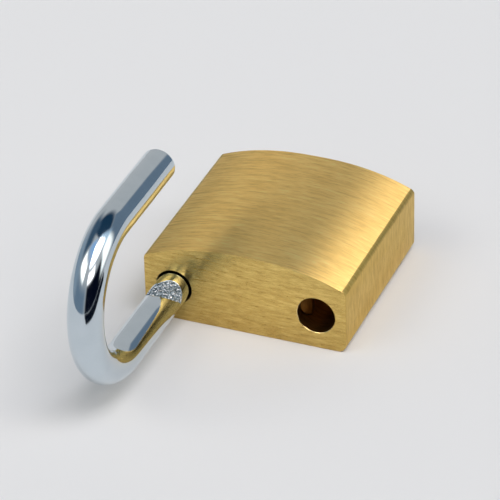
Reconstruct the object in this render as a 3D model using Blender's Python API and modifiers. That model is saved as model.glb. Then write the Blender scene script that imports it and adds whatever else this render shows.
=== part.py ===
"""A 40 mm brass padlock, lying on its back, open, with its shackle swivelled upright.

Frame: the origin is the middle of the flat back. +X runs across the body from the heel leg to
the toe hole, +Y from the shackle end to the keyway end, and +Z out of the crowned front.
Units are metres.
"""

import math

import bmesh
import bpy
from mathutils import Matrix

# Driving dimensions
BODY_WIDTH = 0.0400
BODY_LENGTH = 0.0380
EDGE_THICKNESS = 0.0130
CROWN_RISE = 0.0037
CROWN_POWER = 2.4
FRONT_EDGE_ROUND = 0.0008
BACK_EDGE_RADIUS = 0.0018
LEG_SPACING = 0.0282
LEG_HEIGHT = 0.0070
WIRE_RADIUS = 0.00325
HEEL_HOLE_RADIUS = 0.00355
TOE_HOLE_RADIUS = 0.0037
STRAIGHT_LEG = 0.0235
TOE_CLEARANCE = 0.0025
SWIVEL_ANGLE = math.radians(91.4)
LIFT = 0.0108
BOLT_DEPTH = 0.0046
PLUG_RADIUS = 0.0050
PIN_COUNT = 5
PIN_PITCH = 0.0038
PIN_RADIUS = 0.0012
GAP = 0.0003

# Where things are, from the driving dimensions
END_Y = -BODY_LENGTH / 2
KEY_END_Y = BODY_LENGTH / 2
SIDE_X = BODY_WIDTH / 2
HEEL_X = -LEG_SPACING / 2
TOE_X = LEG_SPACING / 2
AXIS_Z = LEG_HEIGHT
BOLT_Y = END_Y + BOLT_DEPTH
PLUG_BORE_RADIUS = PLUG_RADIUS + GAP

# The shackle, measured outwards from the end face in the open position
NOTCH_LEVEL = LIFT - BOLT_DEPTH
NOTCH_DEPTH = 0.0019
NOTCH_HALF_LENGTH = 0.0025
HEEL_NOTCH_LEVEL = 0.00545
HEEL_NOTCH_DEPTH = 0.00265
HEEL_NOTCH_HALF_LENGTH = 0.0027
HEEL_NOTCH_TURN = math.radians(14.9)
HEEL_NOTCH_SKEW = math.radians(17.3)
NECK_RADIUS = 0.0019
RETAINING_PIN_RADIUS = 0.0010
NECK_START = -0.0006
NECK_LENGTH = LIFT + 2 * RETAINING_PIN_RADIUS + 2 * GAP
COLLAR_LENGTH = 0.0020
HEEL_END = NECK_START - NECK_LENGTH - COLLAR_LENGTH
TOE_CHAMFER = 0.0006

# Depths of the holes, from the end face
TOE_HOLE_DEPTH = 0.0095
HEEL_HOLE_DEPTH = 0.0340

# The spring under the heel leg and its cap
CAP_TOP = HEEL_END - GAP
CAP_THICKNESS = 0.0020
CAP_RADIUS = 0.00325
CAP_BOSS_RADIUS = 0.0015
CAP_BOSS_LENGTH = 0.0015

# The bolts
BOLT_RADIUS = 0.0026
BOLT_BORE_RADIUS = BOLT_RADIUS + GAP
NOSE_SLOPE = NOTCH_DEPTH / NOTCH_HALF_LENGTH
NOSE_TIP = TOE_X - NECK_RADIUS - GAP
NOTCH_FLOOR = TOE_X - WIRE_RADIUS + NOTCH_DEPTH
NOSE_FLAT = (NOTCH_FLOOR - GAP * math.hypot(1.0, NOSE_SLOPE) - NOSE_TIP) / NOSE_SLOPE
BOLT_TRAVEL = NOSE_TIP - (TOE_X - WIRE_RADIUS - GAP)
BOLT_INNER_END = 0.0066
LIP_FACE = 0.00205
LIP_THICKNESS = 0.0010
SPRING_SOCKET_DEPTH = 0.0036
SPRING_SOCKET_RADIUS = 0.0012
SPRING_SOCKET_OFFSET = 0.0010
HALF_GAP = GAP / 2

# The cam
CAM_RADIUS = 0.0048
CAM_BAR_REACH = 0.0030
CAM_BAR_WIDTH = 0.0016
CAM_BAR_LENGTH = 0.0029
CAM_DISC_FRONT = END_Y + 0.0078
CAM_DISC_THICKNESS = 0.0022
CAM_TONGUE_LENGTH = 0.0021
CAM_TONGUE_WIDTH = 0.0014
CAM_TONGUE_REACH = 0.0040

# The key plug and its pins
PLUG_FRONT = KEY_END_Y - 0.0003
PLUG_BACK = CAM_DISC_FRONT + CAM_DISC_THICKNESS + GAP
KEYWAY_BACK = PLUG_BACK + 0.0037
GROOVE_Y = KEY_END_Y - 0.0024
GROOVE_HALF_WIDTH = 0.0011
GROOVE_RADIUS = 0.0040
PLUG_PIN_RADIUS = 0.0007
FIRST_PIN_Y = KEY_END_Y - 0.0065
CHAMBER_RADIUS = PIN_RADIUS + GAP
PIN_REST_TOP = PLUG_RADIUS - GAP
DRIVER_START = PLUG_RADIUS + GAP
DRIVER_LENGTH = 0.0040
CHAMBER_FLOOR = -0.0006
KEY_PIN_LENGTHS = (0.0034, 0.0042, 0.0037, 0.0045, 0.0031)
CHAMBER_PLUG_START = SIDE_X - 0.0038
FLUSH = 0.0001

# How finely the round shapes are divided
CROWN_STEPS = 40
FRONT_ROUND_STEPS = 3
FILLET_STEPS = 5
HOLE_SIDES = 32
SMALL_SIDES = 20
BOW_STEPS = 30

BRASS = (0.58, 0.42, 0.16)
STEEL = (0.62, 0.65, 0.70)
SPRING_STEEL = (0.42, 0.43, 0.45)


def clear_scene():
    for old in list(bpy.data.objects):
        bpy.data.objects.remove(old, do_unlink=True)


def new_collection(name):
    collection = bpy.data.collections.new(name)
    bpy.context.scene.collection.children.link(collection)
    return collection


clear_scene()
PARTS = new_collection("padlock")
CUTTERS = new_collection("cutters")


def material(name, colour, roughness, metallic=1.0):
    made = bpy.data.materials.new(name)
    made.use_nodes = True
    shader = made.node_tree.nodes["Principled BSDF"]
    shader.inputs["Base Color"].default_value = (*colour, 1.0)
    shader.inputs["Roughness"].default_value = roughness
    shader.inputs["Metallic"].default_value = metallic
    return made


def place(shape, collection):
    """Puts an object in one collection and leaves its other ones."""
    for other in list(shape.users_collection):
        other.objects.unlink(shape)
    collection.objects.link(shape)
    if collection is CUTTERS:
        shape.hide_render = True
        shape.display_type = "WIRE"


def finish(shape, colour, roughness):
    """Gives a part its own material and smooth round faces."""
    shape.data.materials.clear()
    shape.data.materials.append(material(shape.name, colour, roughness))
    shape.data.shade_smooth()
    shape.data.set_sharp_from_angle(angle=math.radians(30))
    return shape


def mesh_object(name, mesh_data, collection=PARTS):
    shape = bpy.data.objects.new(name, mesh_data)
    place(shape, collection)
    return shape


def cylinder(name, radius, low, high, axis, centre, collection=PARTS, sides=HOLE_SIDES):
    """A cylinder along X or Y from low to high; centre gives its other two coordinates."""
    mesh = bpy.data.meshes.new(name)
    form = bmesh.new()
    bmesh.ops.create_cone(
        form, cap_ends=True, segments=sides, radius1=radius, radius2=radius, depth=high - low
    )
    turn = Matrix.Rotation(math.radians(90), 4, "Y" if axis == "X" else "X")
    bmesh.ops.transform(form, matrix=turn, verts=form.verts)
    form.to_mesh(mesh)
    form.free()
    shape = mesh_object(name, mesh, collection)
    middle = (low + high) / 2
    if axis == "X":
        shape.location = (middle, centre[0], centre[1])
    else:
        shape.location = (centre[0], middle, centre[1])
    return shape


def box(name, low, high, collection=PARTS):
    mesh = bpy.data.meshes.new(name)
    form = bmesh.new()
    bmesh.ops.create_cube(form, size=1.0)
    size = [b - a for a, b in zip(low, high)]
    bmesh.ops.scale(form, vec=size, verts=form.verts)
    form.to_mesh(mesh)
    form.free()
    shape = mesh_object(name, mesh, collection)
    shape.location = [(a + b) / 2 for a, b in zip(low, high)]
    return shape


def turned(name, profile, axis, centre, collection=PARTS, sides=SMALL_SIDES):
    """Turns a profile of (radius, distance) points, from the top of the axis down, into a solid.

    The axis is X or Y, and distances are world coordinates along it. Both ends lie on the axis.
    """
    mesh = bpy.data.meshes.new(name)
    form = bmesh.new()
    points = [form.verts.new((radius, 0.0, along)) for radius, along in profile]
    for first, second in zip(points, points[1:]):
        form.edges.new((first, second))
    form.to_mesh(mesh)
    form.free()
    shape = mesh_object(name, mesh, collection)
    if axis == "X":
        shape.matrix_world = (
            Matrix.Translation((0.0, centre[0], centre[1])) @ Matrix.Rotation(math.radians(90), 4, "Y")
        )
    else:
        shape.matrix_world = (
            Matrix.Translation((centre[0], 0.0, centre[1])) @ Matrix.Rotation(math.radians(-90), 4, "X")
        )
    screw = shape.modifiers.new("turn", "SCREW")
    screw.steps = sides
    screw.render_steps = sides
    screw.use_merge_vertices = True
    screw.merge_threshold = 0.00001
    return shape


def meshed(curve_object):
    """Replaces a curve object by a mesh object with welded caps."""
    graph = bpy.context.evaluated_depsgraph_get()
    mesh = bpy.data.meshes.new_from_object(curve_object.evaluated_get(graph))
    form = bmesh.new()
    form.from_mesh(mesh)
    bmesh.ops.remove_doubles(form, verts=form.verts, dist=0.000002)
    form.to_mesh(mesh)
    form.free()
    name = curve_object.name
    collection = curve_object.users_collection[0]
    matrix = curve_object.matrix_world.copy()
    bpy.data.objects.remove(curve_object, do_unlink=True)
    shape = mesh_object(name, mesh, collection)
    shape.matrix_world = matrix
    return shape


def outline_solid(name, points, thickness, collection=PARTS):
    """A flat outline in the local XY plane, with half its thickness on each side."""
    data = bpy.data.curves.new(name, "CURVE")
    data.dimensions = "2D"
    data.fill_mode = "BOTH"
    data.extrude = thickness / 2
    spline = data.splines.new("POLY")
    spline.points.add(len(points) - 1)
    for point, (x, y) in zip(spline.points, points):
        point.co = (x, y, 0.0, 1.0)
    spline.use_cyclic_u = True
    shape = bpy.data.objects.new(name, data)
    place(shape, collection)
    return meshed(shape)


def cut(shape, cutter, operation="DIFFERENCE"):
    change = shape.modifiers.new(cutter.name, "BOOLEAN")
    change.operation = operation
    change.object = cutter
    change.solver = "EXACT"


def coil(name, radius, wire_radius, turns, start, end, axis, centre, points_per_turn=12):
    """A coil spring along X or Y, from start to end, wire centre to wire centre."""
    data = bpy.data.curves.new(name, "CURVE")
    data.dimensions = "3D"
    data.bevel_depth = wire_radius
    data.bevel_resolution = 1
    data.use_fill_caps = True
    count = round(turns * points_per_turn) + 1
    spline = data.splines.new("POLY")
    spline.points.add(count - 1)
    for index, point in enumerate(spline.points):
        share = index / (count - 1)
        angle = 2 * math.pi * turns * share
        along = start + (end - start) * share
        first = centre[0] + radius * math.cos(angle)
        second = centre[1] + radius * math.sin(angle)
        place_at = (along, first, second) if axis == "X" else (first, along, second)
        point.co = (*place_at, 1.0)
    shape = bpy.data.objects.new(name, data)
    place(shape, PARTS)
    return finish(meshed(shape), SPRING_STEEL, 0.35)


def crown_height(x):
    """Height of the crowned front above the back, at a distance x from the middle."""
    return EDGE_THICKNESS + CROWN_RISE * (1 - (abs(x) / SIDE_X) ** CROWN_POWER)


def body_outline():
    """The body's section seen from the shackle end: flat back, round edges, crowned front."""
    shoulder = SIDE_X - FRONT_EDGE_ROUND
    shoulder_height = crown_height(shoulder)
    rounding = []
    for index in range(FRONT_ROUND_STEPS):
        share = index / FRONT_ROUND_STEPS
        x = SIDE_X - share**2 * FRONT_EDGE_ROUND
        below = (1 - share) ** 2 * FRONT_EDGE_ROUND
        above = share**2 * (shoulder_height - EDGE_THICKNESS)
        rounding.append((x, EDGE_THICKNESS - below + above))
    points = list(rounding)
    for index in range(CROWN_STEPS + 1):
        x = shoulder - 2 * shoulder * index / CROWN_STEPS
        points.append((x, crown_height(x)))
    points += [(-x, z) for x, z in reversed(rounding)]
    for side in (-1, 1):
        for index in range(FILLET_STEPS + 1):
            share = index / FILLET_STEPS if side < 0 else 1 - index / FILLET_STEPS
            angle = math.radians(90) * share
            inset = BACK_EDGE_RADIUS * (1 - math.cos(angle))
            drop = BACK_EDGE_RADIUS * (1 - math.sin(angle))
            points.append((side * (SIDE_X - inset), drop))
    return points


def pin_places():
    """Number and place along Y of each pin stack, from the keyway end inwards."""
    return [(index + 1, FIRST_PIN_Y - index * PIN_PITCH) for index in range(PIN_COUNT)]


def make_body():
    body = outline_solid("body_block", body_outline(), BODY_LENGTH)
    body.rotation_euler = (math.radians(90), 0.0, 0.0)
    beyond = 0.002
    leg_holes = (
        ("heel_hole", HEEL_HOLE_RADIUS, HEEL_X, HEEL_HOLE_DEPTH),
        ("toe_hole", TOE_HOLE_RADIUS, TOE_X, TOE_HOLE_DEPTH),
    )
    for name, radius, x, depth in leg_holes:
        bounds = (END_Y - beyond, END_Y + depth)
        cut(body, cylinder(name, radius, *bounds, "Y", (x, AXIS_Z), CUTTERS))
    plug_bounds = (BOLT_Y - 0.0001, KEY_END_Y + beyond)
    cut(body, cylinder("plug_bore", PLUG_BORE_RADIUS, *plug_bounds, "Y", (0.0, AXIS_Z), CUTTERS))
    bolt_bounds = (HEEL_X + 0.0010, SIDE_X + beyond)
    cut(body, cylinder("bolt_bore", BOLT_BORE_RADIUS, *bolt_bounds, "X", (BOLT_Y, AXIS_Z), CUTTERS))
    for number, y in pin_places():
        bounds = (PLUG_RADIUS - 0.0020, SIDE_X + beyond)
        drill = cylinder(
            f"chamber_{number}", CHAMBER_RADIUS, *bounds, "X", (y, AXIS_Z), CUTTERS, SMALL_SIDES
        )
        cut(body, drill)
    side_pins = (
        ("shackle_pin_hole", RETAINING_PIN_RADIUS, HEEL_X - 0.0020, retaining_pin_y()),
        ("plug_pin_hole", PLUG_PIN_RADIUS, -PLUG_RADIUS + 0.0002, GROOVE_Y),
    )
    for name, radius, inner, y in side_pins:
        bounds = (-SIDE_X - beyond, inner)
        cut(body, cylinder(name, radius + GAP, *bounds, "X", (y, AXIS_Z), CUTTERS, SMALL_SIDES))
    return finish(body, BRASS, 0.32)


def retaining_pin_y():
    """Place of the shackle's retaining pin: just inside the neck's outer end when it is closed."""
    return END_Y + LIFT - NECK_START + GAP + RETAINING_PIN_RADIUS


def shackle_path():
    """Centre line of the shackle, from the heel's end round the bow to the toe, with wire scale."""
    points = [(0.0, -HEEL_END, 1.0), (0.0, 0.0, 1.0)]
    for index in range(BOW_STEPS + 1):
        angle = math.pi * index / BOW_STEPS
        x = LEG_SPACING / 2 * (1 - math.cos(angle))
        y = -STRAIGHT_LEG - LEG_SPACING / 2 * math.sin(angle)
        points.append((x, y, 1.0))
    points.append((LEG_SPACING, -TOE_CLEARANCE - TOE_CHAMFER, 1.0))
    points.append((LEG_SPACING, -TOE_CLEARANCE, 1 - TOE_CHAMFER / WIRE_RADIUS))
    return points


def notch_cutter(name, x_surface, inward, level, depth, half_length):
    """A wedge whose edge lies at a depth inside a leg's surface, at a level outside the body."""
    beyond = 0.0010
    open_half = (depth + beyond) * half_length / depth
    points = [
        (x_surface + inward * depth, 0.0),
        (x_surface - inward * beyond, -open_half),
        (x_surface - inward * beyond, open_half),
    ]
    if inward > 0:
        points.reverse()
    wedge = outline_solid(name, points, 3 * WIRE_RADIUS, CUTTERS)
    wedge.location.y = -level
    return wedge


def neck_cutter():
    """A ring around the heel leg that leaves the neck."""
    outer = 2 * WIRE_RADIUS
    low = -NECK_START
    high = low + NECK_LENGTH
    ring = cylinder("neck_ring", outer, low, high, "Y", (0.0, 0.0), CUTTERS)
    core = cylinder("neck_core", NECK_RADIUS, low - 0.001, high + 0.001, "Y", (0.0, 0.0), CUTTERS)
    cut(ring, core)
    return ring


def make_shackle():
    """The shackle, built with its heel axis on the local Y axis and turned about that axis."""
    data = bpy.data.curves.new("shackle", "CURVE")
    data.dimensions = "3D"
    data.bevel_depth = WIRE_RADIUS
    data.bevel_resolution = 14
    data.use_fill_caps = True
    path = shackle_path()
    spline = data.splines.new("POLY")
    spline.points.add(len(path) - 1)
    for point, (x, y, scale) in zip(spline.points, path):
        point.co = (x, y, 0.0, 1.0)
        point.radius = scale
    rod = bpy.data.objects.new("shackle", data)
    place(rod, PARTS)
    shackle = meshed(rod)
    pose = Matrix.Translation((HEEL_X, END_Y, AXIS_Z)) @ Matrix.Rotation(-SWIVEL_ANGLE, 4, "Y")
    toe_inside = LEG_SPACING - WIRE_RADIUS
    heel_size = (HEEL_NOTCH_LEVEL, HEEL_NOTCH_DEPTH, HEEL_NOTCH_HALF_LENGTH)
    toe_size = (NOTCH_LEVEL, NOTCH_DEPTH, NOTCH_HALF_LENGTH)
    heel_notch = notch_cutter("heel_notch", WIRE_RADIUS, -1, *heel_size)
    heel_notch.rotation_euler = (HEEL_NOTCH_SKEW, HEEL_NOTCH_TURN, 0.0)
    toe_notch = notch_cutter("toe_notch", toe_inside, 1, *toe_size)
    cutters = [neck_cutter(), heel_notch, toe_notch]
    for cutter in cutters:
        cut(shackle, cutter)
    bpy.context.view_layer.update()
    for shape in [shackle, bpy.data.objects["neck_core"], *cutters]:
        shape.matrix_world = pose @ shape.matrix_world
    return finish(shackle, STEEL, 0.08)


def make_shackle_hardware():
    pin = cylinder(
        "shackle_retaining_pin",
        RETAINING_PIN_RADIUS,
        -SIDE_X + FLUSH,
        HEEL_X - NECK_RADIUS - GAP,
        "X",
        (retaining_pin_y(), AXIS_Z),
        sides=SMALL_SIDES,
    )
    finish(pin, STEEL, 0.3)
    top = END_Y - CAP_TOP
    profile = [
        (0.0, top + CAP_THICKNESS + CAP_BOSS_LENGTH),
        (CAP_BOSS_RADIUS, top + CAP_THICKNESS + CAP_BOSS_LENGTH),
        (CAP_BOSS_RADIUS, top + CAP_THICKNESS),
        (CAP_RADIUS, top + CAP_THICKNESS),
        (CAP_RADIUS, top),
        (0.0, top),
    ]
    finish(turned("spring_cap", profile, "Y", (HEEL_X, AXIS_Z), sides=HOLE_SIDES), BRASS, 0.35)
    wire = 0.00035
    start = top + CAP_THICKNESS + GAP + wire
    end = END_Y + HEEL_HOLE_DEPTH - GAP - wire
    coil("shackle_spring", 0.0026, wire, 7, start, end, "Y", (HEEL_X, AXIS_Z))


def bolt_outline(side, shift):
    """A bolt seen along Z: nose, body, tongue and lip. side is 1 for the toe and -1 for the heel."""
    ramp = NOSE_TIP - NOSE_SLOPE * (BOLT_RADIUS - NOSE_FLAT)
    lip_end = -LIP_FACE - LIP_THICKNESS
    points = [
        (NOSE_TIP, NOSE_FLAT),
        (ramp, BOLT_RADIUS),
        (BOLT_INNER_END, BOLT_RADIUS),
        (BOLT_INNER_END, -HALF_GAP),
        (-LIP_FACE, -HALF_GAP),
        (-LIP_FACE, BOLT_RADIUS),
        (lip_end, BOLT_RADIUS),
        (lip_end, -BOLT_RADIUS),
        (ramp, -BOLT_RADIUS),
        (NOSE_TIP, -NOSE_FLAT),
    ]
    placed = [(side * x + shift, y + BOLT_Y) for x, y in points]
    return placed if side > 0 else placed[::-1]


def make_bolt(name, side, shift):
    """A round bolt with a wedge nose; its tongue fills the half of the bore below or above the axis."""
    bolt = outline_solid(name, bolt_outline(side, shift), 4 * BOLT_RADIUS)
    bolt.location.z = AXIS_Z
    reach = sorted((side * (NOSE_TIP + 0.001) + shift, -side * (LIP_FACE + 0.003) + shift))
    rod = cylinder(f"{name}_rod", BOLT_RADIUS, *reach, "X", (BOLT_Y, AXIS_Z), CUTTERS)
    cut(bolt, rod, "INTERSECT")
    across = sorted((side * BOLT_INNER_END + shift, -side * 0.006 + shift))
    room = sorted((AXIS_Z - side * HALF_GAP, AXIS_Z + side * 2 * BOLT_RADIUS))
    half = box(
        f"{name}_half",
        (across[0], BOLT_Y - 2 * BOLT_RADIUS, room[0]),
        (across[1], BOLT_Y + 2 * BOLT_RADIUS, room[1]),
        CUTTERS,
    )
    cut(bolt, half)
    socket_z = AXIS_Z + side * SPRING_SOCKET_OFFSET
    socket_x = sorted(
        (side * (BOLT_INNER_END - 0.001) + shift, side * (BOLT_INNER_END + SPRING_SOCKET_DEPTH) + shift)
    )
    socket = cylinder(
        f"{name}_socket", SPRING_SOCKET_RADIUS, *socket_x, "X", (BOLT_Y, socket_z), CUTTERS, SMALL_SIDES
    )
    cut(bolt, socket)
    return finish(bolt, BRASS, 0.4)


def make_bolts():
    """The toe bolt stands out into its hole, and the heel leg holds the heel bolt back."""
    make_bolt("toe_bolt", 1, 0.0)
    make_bolt("heel_bolt", -1, BOLT_TRAVEL)
    wire = 0.0002
    lip_end = LIP_FACE + LIP_THICKNESS
    floor = BOLT_INNER_END + SPRING_SOCKET_DEPTH - GAP - wire
    toe_start = lip_end + BOLT_TRAVEL + GAP + wire
    heel_start = -lip_end - GAP - wire
    toe_spring_z = AXIS_Z + SPRING_SOCKET_OFFSET
    heel_spring_z = AXIS_Z - SPRING_SOCKET_OFFSET
    coil("toe_bolt_spring", 0.0007, wire, 5, toe_start, floor, "X", (BOLT_Y, toe_spring_z), 8)
    heel_floor = -floor + BOLT_TRAVEL
    coil("heel_bolt_spring", 0.0007, wire, 5, heel_start, heel_floor, "X", (BOLT_Y, heel_spring_z), 8)
    bore_plug = cylinder(
        "bolt_bore_plug",
        BOLT_RADIUS,
        TOE_X + TOE_HOLE_RADIUS + FLUSH,
        SIDE_X - FLUSH,
        "X",
        (BOLT_Y, AXIS_Z),
    )
    finish(bore_plug, BRASS, 0.32)


def stadium(half_length, half_width, steps=8):
    """Outline of a bar along the local Y axis with round ends."""
    points = []
    for end in (1, -1):
        centre = end * (half_length - half_width)
        for index in range(steps + 1):
            angle = math.pi * index / steps + (0.0 if end > 0 else math.pi)
            points.append((half_width * math.cos(angle), centre + half_width * math.sin(angle)))
    return points


def make_cam():
    """A disc with a bar that works between the bolts' lips and a tongue that fits the key plug."""
    disc_back = CAM_DISC_FRONT + CAM_DISC_THICKNESS
    cam = cylinder("cam", CAM_RADIUS, CAM_DISC_FRONT, disc_back, "Y", (0.0, AXIS_Z))
    overlap = 0.0005
    bar = outline_solid(
        "cam_bar", stadium(CAM_BAR_REACH, CAM_BAR_WIDTH / 2), CAM_BAR_LENGTH + overlap, CUTTERS
    )
    bar.rotation_euler = (math.radians(90), 0.0, 0.0)
    bar.location = (0.0, CAM_DISC_FRONT - CAM_BAR_LENGTH / 2 + overlap / 2, AXIS_Z)
    cut(cam, bar, "UNION")
    tongue = box(
        "cam_tongue",
        (-CAM_TONGUE_REACH, disc_back - overlap, AXIS_Z - CAM_TONGUE_WIDTH / 2),
        (CAM_TONGUE_REACH, disc_back + CAM_TONGUE_LENGTH, AXIS_Z + CAM_TONGUE_WIDTH / 2),
        CUTTERS,
    )
    cut(cam, tongue, "UNION")
    return finish(cam, STEEL, 0.4)


def make_key_plug():
    """The key cylinder: keyway, retaining groove, cam slot and five pin chambers."""
    plug = cylinder("key_plug", PLUG_RADIUS, PLUG_BACK, PLUG_FRONT, "Y", (0.0, AXIS_Z))
    beyond = 0.002
    keyway_parts = (("keyway_wide", -0.0040, -0.0012, 0.0011), ("keyway_narrow", -0.0014, 0.0018, 0.0006))
    for name, left, right, half_width in keyway_parts:
        slot = box(
            name,
            (left, KEYWAY_BACK, AXIS_Z - half_width),
            (right, PLUG_FRONT + beyond, AXIS_Z + half_width),
            CUTTERS,
        )
        cut(plug, slot)
    slot_half = CAM_TONGUE_WIDTH / 2 + GAP
    cam_slot = box(
        "cam_slot",
        (-PLUG_RADIUS - beyond, PLUG_BACK - beyond, AXIS_Z - slot_half),
        (PLUG_RADIUS + beyond, PLUG_BACK + CAM_TONGUE_LENGTH, AXIS_Z + slot_half),
        CUTTERS,
    )
    cut(plug, cam_slot)
    groove_bounds = (GROOVE_Y - GROOVE_HALF_WIDTH, GROOVE_Y + GROOVE_HALF_WIDTH)
    ring = cylinder("plug_groove", PLUG_RADIUS + beyond, *groove_bounds, "Y", (0.0, AXIS_Z), CUTTERS)
    core_bounds = (groove_bounds[0] - beyond, groove_bounds[1] + beyond)
    cut(ring, cylinder("plug_groove_core", GROOVE_RADIUS, *core_bounds, "Y", (0.0, AXIS_Z), CUTTERS))
    cut(plug, ring)
    for number, y in pin_places():
        bounds = (CHAMBER_FLOOR, PLUG_RADIUS + beyond)
        drill = cylinder(
            f"plug_chamber_{number}", CHAMBER_RADIUS, *bounds, "X", (y, AXIS_Z), CUTTERS, SMALL_SIDES
        )
        cut(plug, drill)
    finish(plug, BRASS, 0.3)
    inner = -GROOVE_RADIUS - GAP
    pin = cylinder(
        "plug_retaining_pin",
        PLUG_PIN_RADIUS,
        -SIDE_X + FLUSH,
        inner,
        "X",
        (GROOVE_Y, AXIS_Z),
        sides=SMALL_SIDES,
    )
    finish(pin, STEEL, 0.3)


def make_pin_stack(number, y):
    """One key pin, driver pin, spring and chamber plug, out along X from the keyway."""
    centre = (y, AXIS_Z)
    chamfer = 0.0002
    tip = PIN_REST_TOP - KEY_PIN_LENGTHS[number - 1]
    key_pin = [
        (0.0, PIN_REST_TOP),
        (PIN_RADIUS - chamfer, PIN_REST_TOP),
        (PIN_RADIUS, PIN_REST_TOP - chamfer),
        (PIN_RADIUS, tip + PIN_RADIUS / 2),
        (0.0003, tip),
        (0.0, tip),
    ]
    finish(turned(f"key_pin_{number}", key_pin, "X", centre), BRASS, 0.3)
    driver_end = DRIVER_START + DRIVER_LENGTH
    driver = [
        (0.0, driver_end),
        (PIN_RADIUS - chamfer, driver_end),
        (PIN_RADIUS, driver_end - chamfer),
        (PIN_RADIUS, DRIVER_START + chamfer),
        (PIN_RADIUS - chamfer, DRIVER_START),
        (0.0, DRIVER_START),
    ]
    finish(turned(f"driver_pin_{number}", driver, "X", centre), STEEL, 0.3)
    wire = 0.00018
    start = driver_end + GAP + wire
    end = CHAMBER_PLUG_START - GAP - wire
    coil(f"pin_spring_{number}", 0.0009, wire, 6, start, end, "X", centre, 8)
    plug = cylinder(
        f"chamber_plug_{number}",
        PIN_RADIUS,
        CHAMBER_PLUG_START,
        SIDE_X - FLUSH,
        "X",
        centre,
        sides=SMALL_SIDES,
    )
    finish(plug, BRASS, 0.32)


make_body()
make_shackle()
make_shackle_hardware()
make_bolts()
make_cam()
make_key_plug()
for stack_number, stack_y in pin_places():
    make_pin_stack(stack_number, stack_y)
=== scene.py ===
"""Looks of an open 40 mm brass padlock that lies on its back with its plated shackle turned upright.

The frame is the CAD's: +X from the heel leg to the toe hole, +Y from the shackle end to the
keyway end, +Z out of the crowned front, and the origin in the middle of the flat back. Metres.
"""

import math

import bmesh
import bpy
from mathutils import Matrix, Vector


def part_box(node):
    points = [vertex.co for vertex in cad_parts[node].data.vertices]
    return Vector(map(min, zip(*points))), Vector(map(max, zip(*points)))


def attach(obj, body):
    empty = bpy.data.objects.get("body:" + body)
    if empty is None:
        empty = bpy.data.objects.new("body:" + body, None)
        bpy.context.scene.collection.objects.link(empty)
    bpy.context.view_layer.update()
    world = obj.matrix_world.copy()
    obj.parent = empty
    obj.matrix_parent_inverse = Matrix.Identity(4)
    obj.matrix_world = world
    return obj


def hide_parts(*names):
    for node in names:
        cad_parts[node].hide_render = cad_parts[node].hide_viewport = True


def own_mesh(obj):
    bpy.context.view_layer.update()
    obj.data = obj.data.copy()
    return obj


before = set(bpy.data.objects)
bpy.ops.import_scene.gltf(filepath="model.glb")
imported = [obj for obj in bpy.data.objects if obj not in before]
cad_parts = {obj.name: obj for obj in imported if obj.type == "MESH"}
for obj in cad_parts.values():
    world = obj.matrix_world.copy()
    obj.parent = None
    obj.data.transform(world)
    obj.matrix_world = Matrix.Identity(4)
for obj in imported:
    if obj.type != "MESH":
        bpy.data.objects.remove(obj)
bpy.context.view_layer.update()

# The CAD's dimensions: the body, its holes, and the plugs and pins that close them
BODY_WIDTH = 0.0400
BODY_LENGTH = 0.0380
EDGE_THICKNESS = 0.0130
CROWN_RISE = 0.0037
CROWN_POWER = 2.4
FRONT_EDGE_ROUND = 0.0008
BACK_EDGE_RADIUS = 0.0018
AXIS_Z = 0.0070
HEEL_HOLE_RADIUS = 0.00355
HEEL_HOLE_DEPTH = 0.0340
TOE_HOLE_RADIUS = 0.0037
TOE_HOLE_DEPTH = 0.0095
BOLT_RADIUS = 0.0026
BOLT_DEPTH = 0.0046
CHAMBER_PLUG_LENGTH = 0.0038
RETAINING_PIN_RADIUS = 0.0010
PLUG_PIN_RADIUS = 0.0007
GAP = 0.0003

# The shackle, with its levels measured outwards from the body's end face
LEG_SPACING = 0.0282
WIRE_RADIUS = 0.00325
STRAIGHT_LEG = 0.0235
TOE_CLEARANCE = 0.0025
LIFT = 0.0108
SWIVEL_ANGLE = math.radians(91.4)
NECK_RADIUS = 0.0019
NECK_START = -0.0006
NECK_END = -0.0140
HEEL_END = -0.0160
NOTCH_LEVEL = LIFT - BOLT_DEPTH
NOTCH_DEPTH = 0.0019
NOTCH_HALF_LENGTH = 0.0025
HEEL_NOTCH_LEVEL = 0.00545
HEEL_NOTCH_DEPTH = 0.00265
HEEL_NOTCH_HALF_LENGTH = 0.0027
HEEL_NOTCH_TURN = math.radians(14.9)
HEEL_NOTCH_SKEW = math.radians(17.3)

# The key plug, the pins and the spring cap
PLUG_RADIUS = 0.0050
PLUG_BACK_DEPTH = 0.0103
GROOVE_DEPTH = 0.0024
GROOVE_RADIUS = 0.0040
GROOVE_HALF_WIDTH = 0.0011
KEYWAY_STOP = 0.0037
KEYWAY_STEPS = ((-0.0040, -0.0012, 0.0011), (-0.0014, 0.0018, 0.0006))
CAM_TONGUE_HALF = 0.0007
CAM_TONGUE_LENGTH = 0.0021
CHAMBER_FLOOR = -0.0006
PIN_RADIUS = 0.0012
PIN_PITCH = 0.0038
FIRST_PIN_DEPTH = 0.0065
KEY_PIN_TIP_RADIUS = 0.0003
KEY_PIN_LENGTHS = (0.0034, 0.0042, 0.0037, 0.0045, 0.0031)
DRIVER_LENGTH = 0.0040
CAP_RADIUS = 0.00325
CAP_FLANGE = 0.0020
CAP_STEM_RADIUS = 0.0015
CAP_LENGTH = 0.0035

# Details finer than the CAD's. A turn is the small chamfer on an edge made in a lathe
HAIRLINE = 0.00001
BODY_BEVEL = 0.00015
HEEL_HOLE_CHAMFER = 0.00006
TOE_HOLE_CHAMFER = 0.00009
PLUG_HOLE_CHAMFER = 0.00015
SHACKLE_BEVEL = 0.00013
PLUG_BEVEL = 0.00006
CARRIED_BEVEL = 0.00008
HEEL_TURN = 0.0003
NECK_TURN = 0.0001
TOE_ROUND = 0.0007
PLUG_FRONT_TURN = 0.0003
PIN_TURN = 0.0002
FLUSH_TURN = 0.00015

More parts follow.
